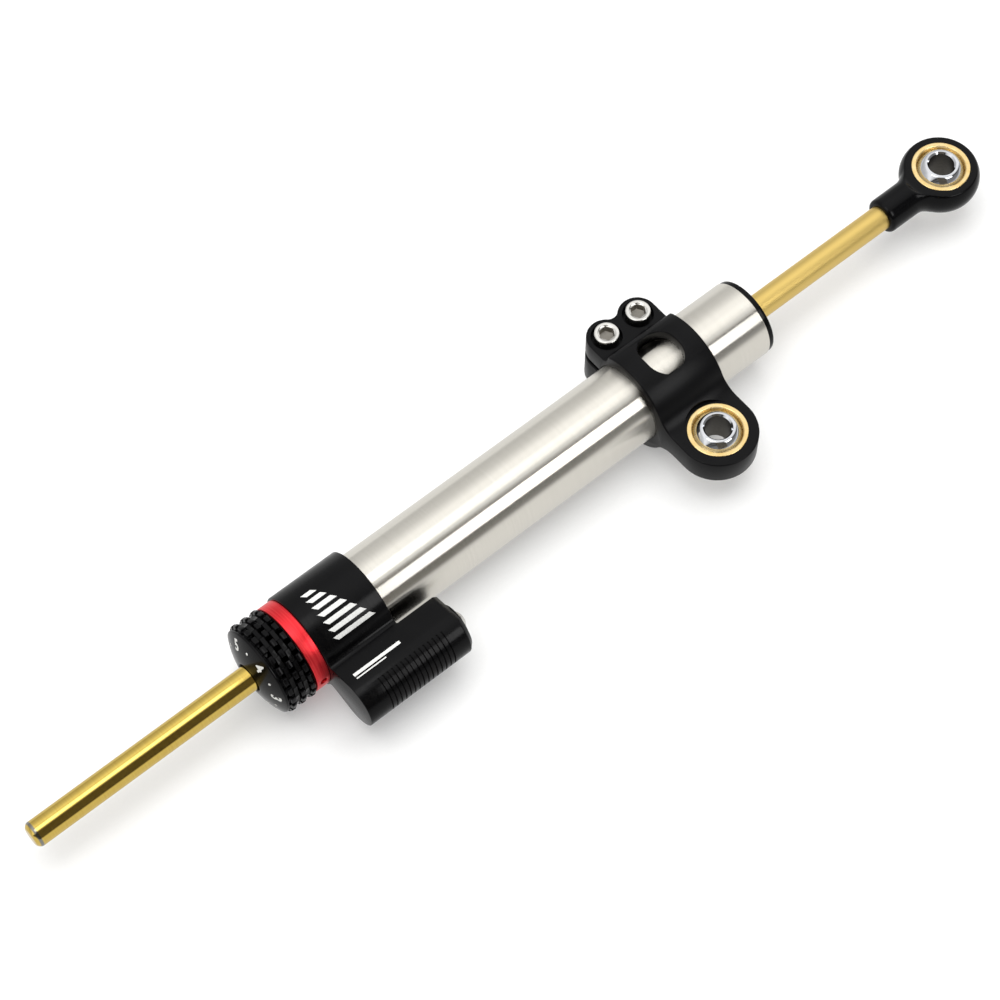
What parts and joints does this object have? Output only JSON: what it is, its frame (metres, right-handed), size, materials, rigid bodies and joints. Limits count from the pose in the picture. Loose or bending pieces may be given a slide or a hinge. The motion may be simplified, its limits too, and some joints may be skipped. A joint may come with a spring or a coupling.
{
  "type": "motorcycle steering damper",
  "caption": "Through-rod hydraulic steering damper with a domed adjuster knob, side reservoir, sliding split clamp and ball joints for its mounting bolts.",
  "frame": {"origin": "centre of the ball in the clamp's ball joint", "axes": "+X along the rod, from its bare end towards the rod eye; +Z along the balls' bores, towards the clamp screws' heads; +Y from the clamp's ball joint towards the tube"},
  "size_m": [0.3577, 0.0614, 0.0328],
  "materials": {
    "black_anodised": "glossy black anodised",
    "red_anodised": "satin red anodised",
    "brushed_aluminium": "brushed round its girth, clear anodised",
    "plain_aluminium": "turned",
    "gold_coated_steel": "polished, gold nitride coating",
    "bearing_bronze": "turned",
    "bright_steel": "bright",
    "hard_chrome": "polished",
    "nitrile_rubber": "matt",
    "filled_ptfe": "matt"
  },
  "bodies": {
    "barrel": {"body_tube": "brushed_aluminium", "inner_cylinder": "plain_aluminium", "valve_body": "black_anodised", "rod_guide": "plain_aluminium", "front_guide_bush": "bearing_bronze", "front_rod_seal": "nitrile_rubber", "front_rod_wiper": "nitrile_rubber", "tube_oring": "nitrile_rubber", "lock_ring": "red_anodised", "gland_oring": "nitrile_rubber", "click_ball": "bright_steel", "click_spring": "bright_steel", "rear_end_cap": "black_anodised", "rear_guide_bush": "bearing_bronze", "rear_rod_seal": "nitrile_rubber", "rear_rod_wiper": "nitrile_rubber", "end_cap_oring": "nitrile_rubber", "reservoir_cap": "black_anodised", "reservoir_cap_oring": "nitrile_rubber", "fill_screw": "bright_steel"},
    "adjuster": {"adjuster_knob": "black_anodised", "valve_sleeve": "bright_steel"},
    "piston": {"piston": "plain_aluminium", "piston_ring": "filled_ptfe"},
    "rod": {"damper_rod": "gold_coated_steel", "piston_clips": "bright_steel", "rod_eye": "black_anodised", "rod_eye_race": "bearing_bronze"},
    "rod_ball": {"rod_eye_ball": "hard_chrome"},
    "clamp": {"body_clamp": "black_anodised", "clamp_race": "bearing_bronze", "clamp_screws": "bright_steel"},
    "clamp_ball": {"clamp_ball": "hard_chrome"},
    "floating_piston": {"floating_piston": "plain_aluminium", "floating_piston_oring": "nitrile_rubber"}
  },
  "joints": [
    {"name": "adjuster_turn", "type": "hinge", "parent": "barrel", "child": "adjuster", "pos_m": [-0.1457, 0.026, 0], "axis": [1, 0, 0], "range_deg": [-150, 150]},
    {"name": "rod_stroke", "type": "slide", "parent": "barrel", "child": "piston", "axis": [1, 0, 0], "range_m": [-0.048, 0.063]},
    {"name": "rod_turn", "type": "hinge", "parent": "piston", "child": "rod", "pos_m": [-0.055, 0.026, 0], "axis": [1, 0, 0], "continuous": true},
    {"name": "rod_ball_swivel", "type": "hinge", "parent": "rod", "child": "rod_ball", "pos_m": [0.11635, 0.026, 0], "axis": [0, 0, 1], "continuous": true},
    {"name": "clamp_slide", "type": "slide", "parent": "barrel", "child": "clamp", "axis": [1, 0, 0], "range_m": [-0.08, 0.02]},
    {"name": "clamp_ball_swivel", "type": "hinge", "parent": "clamp", "child": "clamp_ball", "pos_m": [0, 0, 0], "axis": [0, 0, 1], "continuous": true},
    {"name": "floating_piston_slide", "type": "slide", "parent": "barrel", "child": "floating_piston", "axis": [1, 0, 0], "range_m": [-0.002, 0.009]}
  ]
}
